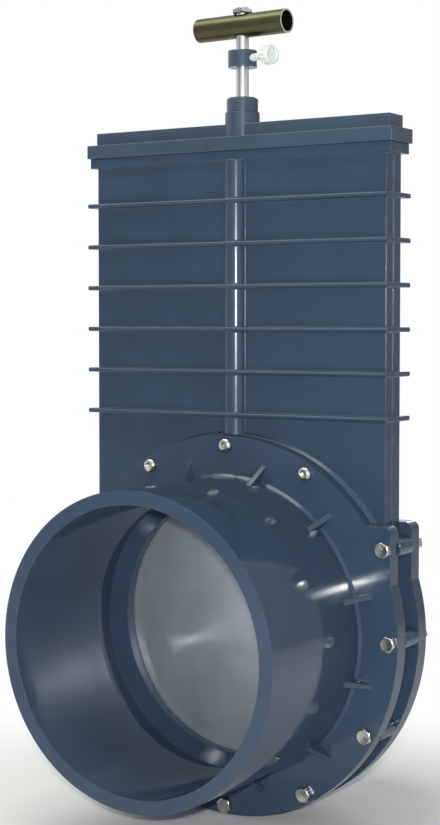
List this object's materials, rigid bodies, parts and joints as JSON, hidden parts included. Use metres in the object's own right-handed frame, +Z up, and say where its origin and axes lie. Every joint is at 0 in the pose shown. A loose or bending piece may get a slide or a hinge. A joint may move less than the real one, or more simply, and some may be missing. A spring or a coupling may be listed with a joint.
{
  "type": "slide gate valve",
  "caption": "Slide gate valve for a glued plastic pipe: socket ends bolted to a flat ribbed housing, with a steel blade pulled up by a rod and T-handle.",
  "frame": {"origin": "centre of the front socket's mouth, on the pipe axis", "axes": "+Z up along the pull rod, +Y along the pipe from the front socket to the rear socket, +X to the right seen from the front"},
  "size_m": [0.351, 0.277, 0.7425],
  "materials": {
    "housing_pvc": "dark blue-grey moulded PVC-U, semi-gloss",
    "fitting_pvc": "dark blue-grey PVC-U pipe fitting, glossy",
    "seal_rubber": "black rubber",
    "blade_steel": "stainless sheet, brushed upright",
    "polished_steel": "polished stainless",
    "bolt_steel": "bright stainless",
    "nylon": "natural white nylon"
  },
  "bodies": {
    "housing": {"front_body": "housing_pvc", "rear_body": "housing_pvc", "front_socket": "fitting_pvc", "rear_socket": "fitting_pvc", "top_cap": "housing_pvc", "gland_bush": "housing_pvc", "front_seal": "seal_rubber", "rear_seal": "seal_rubber", "flange_bolt_1": "bolt_steel", "flange_bolt_2": "bolt_steel", "flange_bolt_3": "bolt_steel", "flange_bolt_4": "bolt_steel", "flange_bolt_5": "bolt_steel", "flange_bolt_6": "bolt_steel", "flange_bolt_7": "bolt_steel", "flange_bolt_8": "bolt_steel", "flange_bolt_9": "bolt_steel", "flange_nut_1": "bolt_steel", "flange_nut_2": "bolt_steel", "flange_nut_3": "bolt_steel", "flange_nut_4": "bolt_steel", "flange_nut_5": "bolt_steel", "flange_nut_6": "bolt_steel", "flange_nut_7": "bolt_steel", "flange_nut_8": "bolt_steel", "flange_nut_9": "bolt_steel", "front_screw_1": "bolt_steel", "front_screw_2": "bolt_steel", "front_screw_3": "bolt_steel", "rear_screw_1": "bolt_steel", "rear_screw_2": "bolt_steel", "rear_screw_3": "bolt_steel"},
    "gate": {"gate_blade": "blade_steel", "pull_rod": "polished_steel", "handle_tube": "polished_steel", "handle_nut": "polished_steel"},
    "collar": {"lock_collar": "housing_pvc"},
    "clamp_screw": {"thumb_screw": "nylon"}
  },
  "joints": [
    {"name": "gate_slide", "type": "slide", "parent": "housing", "child": "gate", "axis": [0, 0, 1], "range_m": [0, 0.262]},
    {"name": "collar_slide", "type": "slide", "parent": "gate", "child": "collar", "axis": [0, 0, 1], "range_m": [-0.0225, 0.0065]},
    {"name": "thumbscrew_turn", "type": "hinge", "parent": "collar", "child": "clamp_screw", "pos_m": [0, 0.1785, 0.52], "axis": [0.9511, -0.309, 0], "range_deg": [0, 360]}
  ]
}
